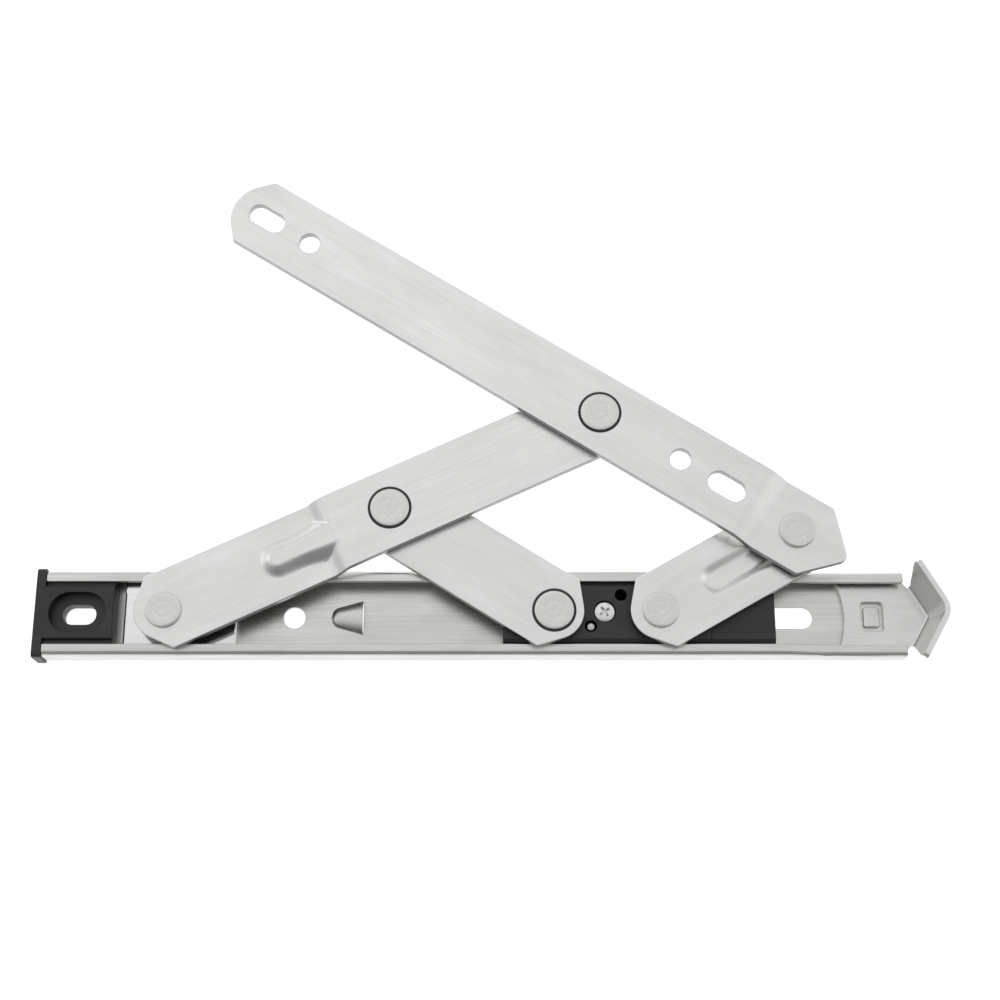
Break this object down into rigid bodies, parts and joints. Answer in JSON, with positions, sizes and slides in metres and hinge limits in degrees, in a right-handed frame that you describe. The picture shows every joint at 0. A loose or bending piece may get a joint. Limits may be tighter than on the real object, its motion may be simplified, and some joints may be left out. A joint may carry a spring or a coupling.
{
  "type": "friction stay hinge",
  "caption": "Stainless friction stay for a casement or awning window: a channel track, a sliding block and a folding linkage of riveted arms.",
  "frame": {"origin": "middle of the track's back face, which lies on the window frame", "axes": "+X along the track towards the nose, +Y to the side the arms open, +Z out of the window frame"},
  "size_m": [0.2229, 0.1264, 0.0145],
  "materials": {
    "arm_steel": "brushed along each arm, satin",
    "track_steel": "rolled sheet, brushed along the channel",
    "nose_steel": "satin, lightly brushed",
    "mirror_steel": "polished",
    "rivet_steel": "turned rings on the heads",
    "plain_steel": "plain turned",
    "screw_steel": "bright plated",
    "pad_brass": "plain",
    "black_plastic": "fine moulded texture",
    "black_nylon": "satin"
  },
  "bodies": {
    "track": {"track": "track_steel", "end_cap": "black_plastic", "nose_plate": "nose_steel", "pivot_seat": "mirror_steel", "pivot_collar": "plain_steel"},
    "long_arm": {"long_arm": "arm_steel", "rivet_b": "rivet_steel", "bush_b": "black_nylon", "washer_b": "black_nylon", "rivet_c": "rivet_steel", "washer_c": "black_nylon"},
    "sash_arm": {"sash_arm": "arm_steel", "bush_c": "black_nylon", "rivet_f": "rivet_steel", "spacer_f": "plain_steel"},
    "rivet_a": {"rivet_a": "rivet_steel"},
    "rivet_d": {"rivet_d": "rivet_steel"},
    "slider": {"slider_body": "black_plastic", "slider_tail": "black_plastic", "slider_core": "plain_steel", "friction_screw": "screw_steel", "friction_pad": "pad_brass", "peg_pin": "plain_steel", "rivet_e": "rivet_steel", "washer_d": "black_nylon", "washer_e": "black_nylon"},
    "short_link": {"short_link": "arm_steel", "bush_d": "black_nylon", "rivet_b_tail": "rivet_steel"},
    "short_arm": {"short_arm": "arm_steel", "rivet_f_tail": "rivet_steel"}
  },
  "joints": [
    {"name": "long_arm_turn", "type": "hinge", "parent": "track", "child": "long_arm", "pos_m": [-0.0815, 0, 0], "axis": [0, 0, 1], "range_deg": [-24.9, 20]},
    {"name": "sash_arm_turn", "type": "hinge", "parent": "long_arm", "child": "sash_arm", "pos_m": [0.02481, 0.04935, 0], "axis": [0, 0, 1], "range_deg": [-46.5, 58]},
    {"name": "rivet_a_turn", "type": "hinge", "parent": "track", "child": "rivet_a", "pos_m": [-0.0815, 0, 0], "axis": [0, 0, 1], "range_deg": [-30, 24]},
    {"name": "rivet_d_carry", "type": "hinge", "parent": "rivet_a", "child": "rivet_d", "pos_m": [-0.03418, 0.02629, 0], "axis": [0, 0, 1], "range_deg": [-48, 60]},
    {"name": "slider_run", "type": "hinge", "parent": "rivet_d", "child": "slider", "pos_m": [0.01315, 0, 0], "axis": [0, 0, 1], "range_deg": [-30, 24]},
    {"name": "short_link_turn", "type": "hinge", "parent": "slider", "child": "short_link", "pos_m": [0.01315, 0, 0], "axis": [0, 0, 1], "range_deg": [-27, 33]},
    {"name": "short_arm_turn", "type": "hinge", "parent": "slider", "child": "short_arm", "pos_m": [0.03895, 0, 0], "axis": [0, 0, 1], "range_deg": [-31, 25]}
  ],
  "couplings": [
    {"joint": "sash_arm_turn", "follows": "long_arm_turn", "ratio": -2.295},
    {"joint": "rivet_a_turn", "follows": "long_arm_turn", "ratio": 1.184},
    {"joint": "rivet_d_carry", "follows": "long_arm_turn", "ratio": -2.368},
    {"joint": "slider_run", "follows": "long_arm_turn", "ratio": 1.184},
    {"joint": "short_link_turn", "follows": "long_arm_turn", "ratio": -1.31},
    {"joint": "short_arm_turn", "follows": "long_arm_turn", "ratio": 1.23}
  ]
}
